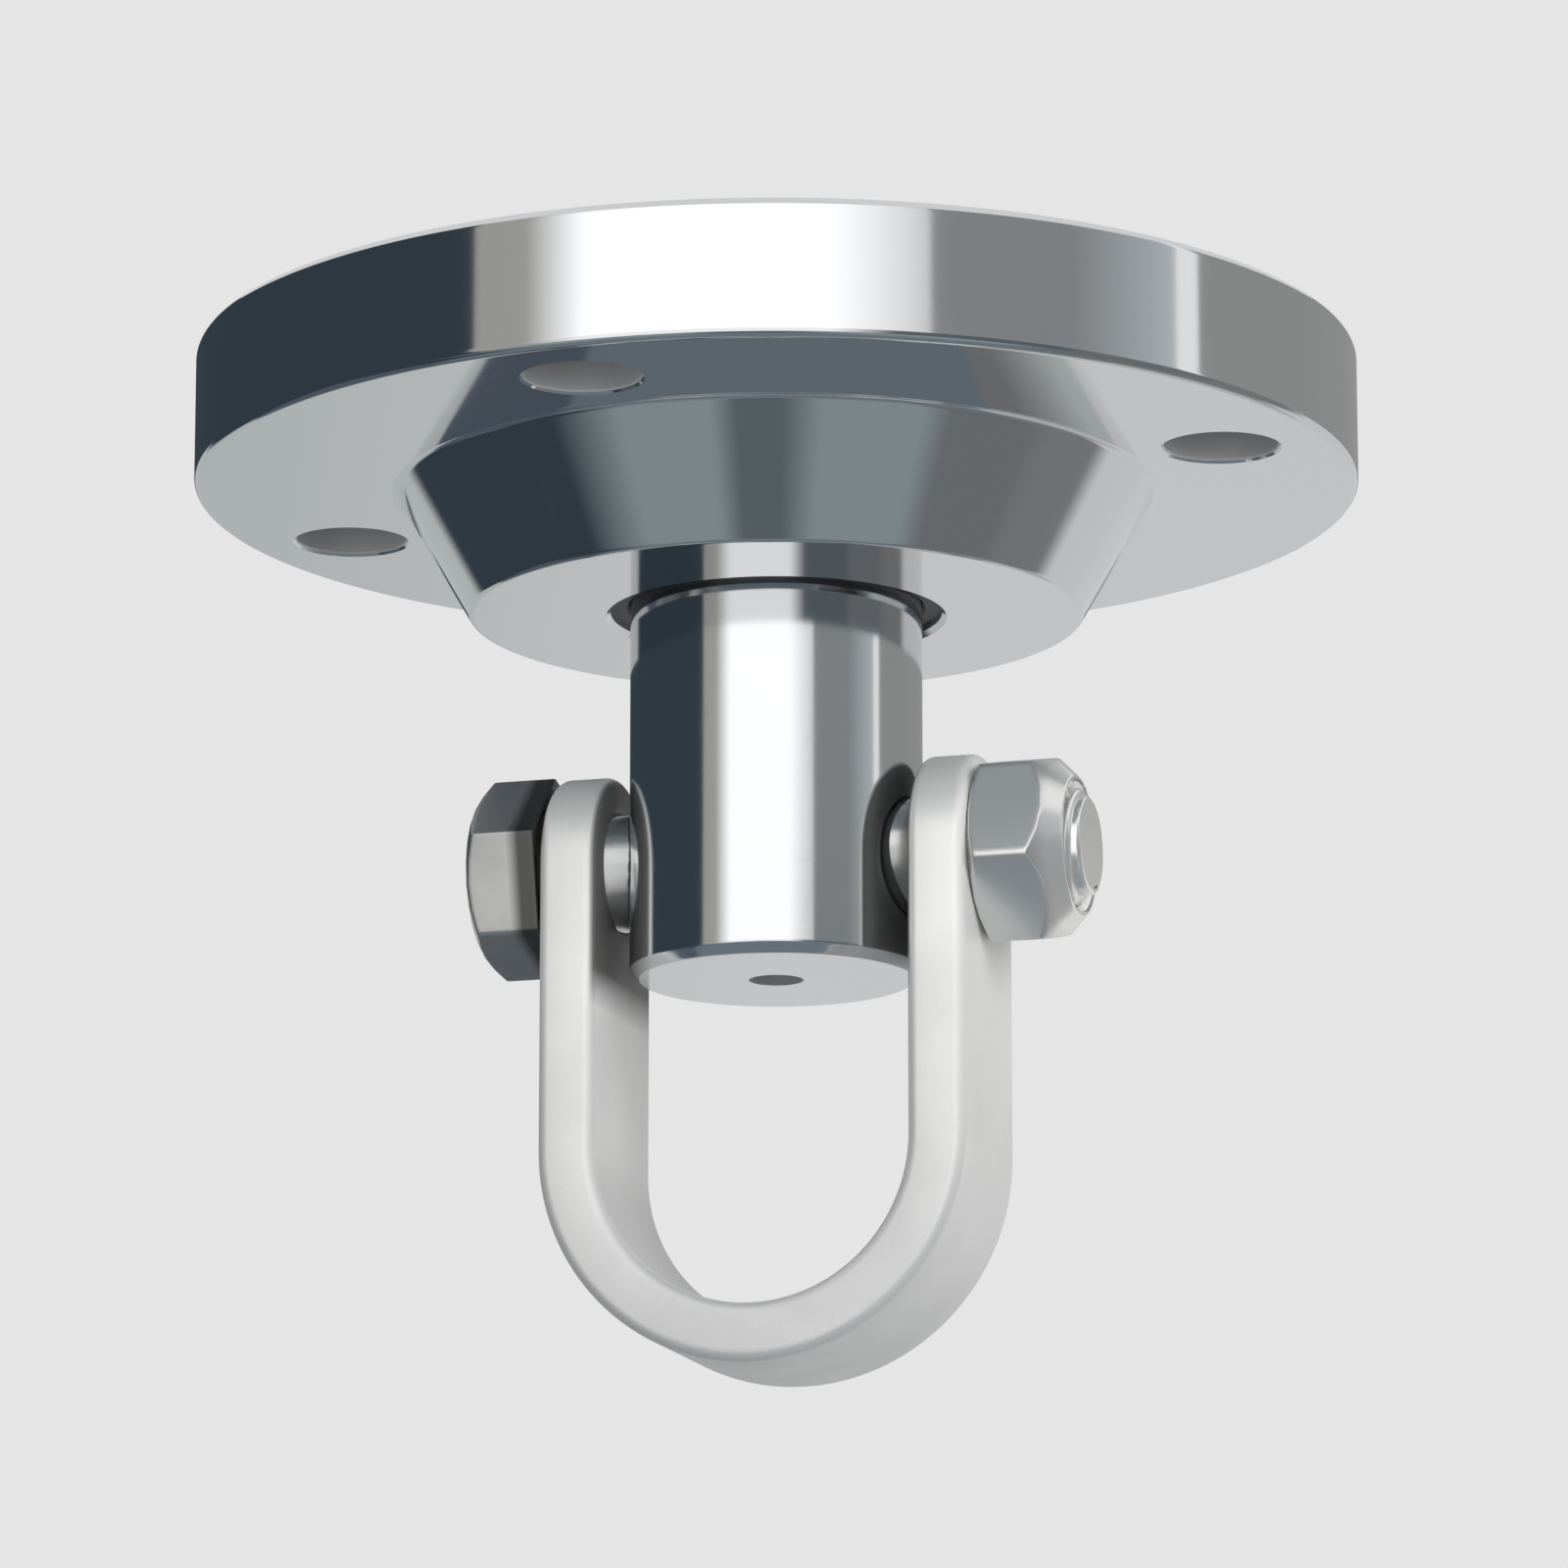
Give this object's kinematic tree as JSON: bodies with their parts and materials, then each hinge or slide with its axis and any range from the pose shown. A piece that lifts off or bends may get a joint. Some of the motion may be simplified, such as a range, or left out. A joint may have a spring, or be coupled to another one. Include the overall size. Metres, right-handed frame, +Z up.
{
  "type": "swivel ceiling hook",
  "caption": "Round chromed ceiling flange with a conical hub, a ball-borne swivelling spindle and a U strap shackle on a cross bolt, for hanging a heavy load.",
  "frame": {"origin": "centre of the flange's ceiling face", "axes": "+Z up into the ceiling along the spindle, +X along the shackle bolt towards its nut"},
  "size_m": [0.12, 0.12, 0.1055],
  "materials": {
    "flange_chrome": "turned and chromed",
    "spindle_chrome": "turned and chromed",
    "strap_zinc": "satin zinc",
    "fastener_zinc": "bright zinc",
    "bearing_steel": "ground",
    "cage_brass": "punched",
    "bush_polymer": "moulded",
    "cover_zinc": "zinc plated",
    "ring_spring_steel": "phosphated"
  },
  "bodies": {
    "mount": {"mounting_flange": "flange_chrome", "guide_bush": "bush_polymer", "bearing_lower_race": "bearing_steel", "cover_plate": "cover_zinc", "retaining_ring": "ring_spring_steel"},
    "spindle": {"spindle": "spindle_chrome", "bearing_upper_race": "bearing_steel"},
    "ball_cage": {"bearing_cage": "cage_brass", "bearing_ball_01": "bearing_steel", "bearing_ball_02": "bearing_steel", "bearing_ball_03": "bearing_steel", "bearing_ball_04": "bearing_steel", "bearing_ball_05": "bearing_steel", "bearing_ball_06": "bearing_steel", "bearing_ball_07": "bearing_steel", "bearing_ball_08": "bearing_steel", "bearing_ball_09": "bearing_steel", "bearing_ball_10": "bearing_steel", "bearing_ball_11": "bearing_steel", "bearing_ball_12": "bearing_steel", "bearing_ball_13": "bearing_steel", "bearing_ball_14": "bearing_steel", "bearing_ball_15": "bearing_steel", "bearing_ball_16": "bearing_steel", "bearing_ball_17": "bearing_steel", "bearing_ball_18": "bearing_steel"},
    "shackle": {"shackle_strap": "strap_zinc", "shackle_bolt": "fastener_zinc", "shackle_nut": "fastener_zinc"}
  },
  "joints": [
    {"name": "spindle_swivel", "type": "hinge", "parent": "mount", "child": "spindle", "pos_m": [0, 0, -0.027], "axis": [0, 0, 1], "continuous": true},
    {"name": "cage_roll", "type": "hinge", "parent": "mount", "child": "ball_cage", "pos_m": [0, 0, -0.0155], "axis": [0, 0, 1], "continuous": true},
    {"name": "shackle_swing", "type": "hinge", "parent": "spindle", "child": "shackle", "pos_m": [0, 0, -0.053], "axis": [1, 0, 0], "range_deg": [-115, 115]}
  ],
  "couplings": [
    {"joint": "cage_roll", "follows": "spindle_swivel", "ratio": 0.5}
  ]
}
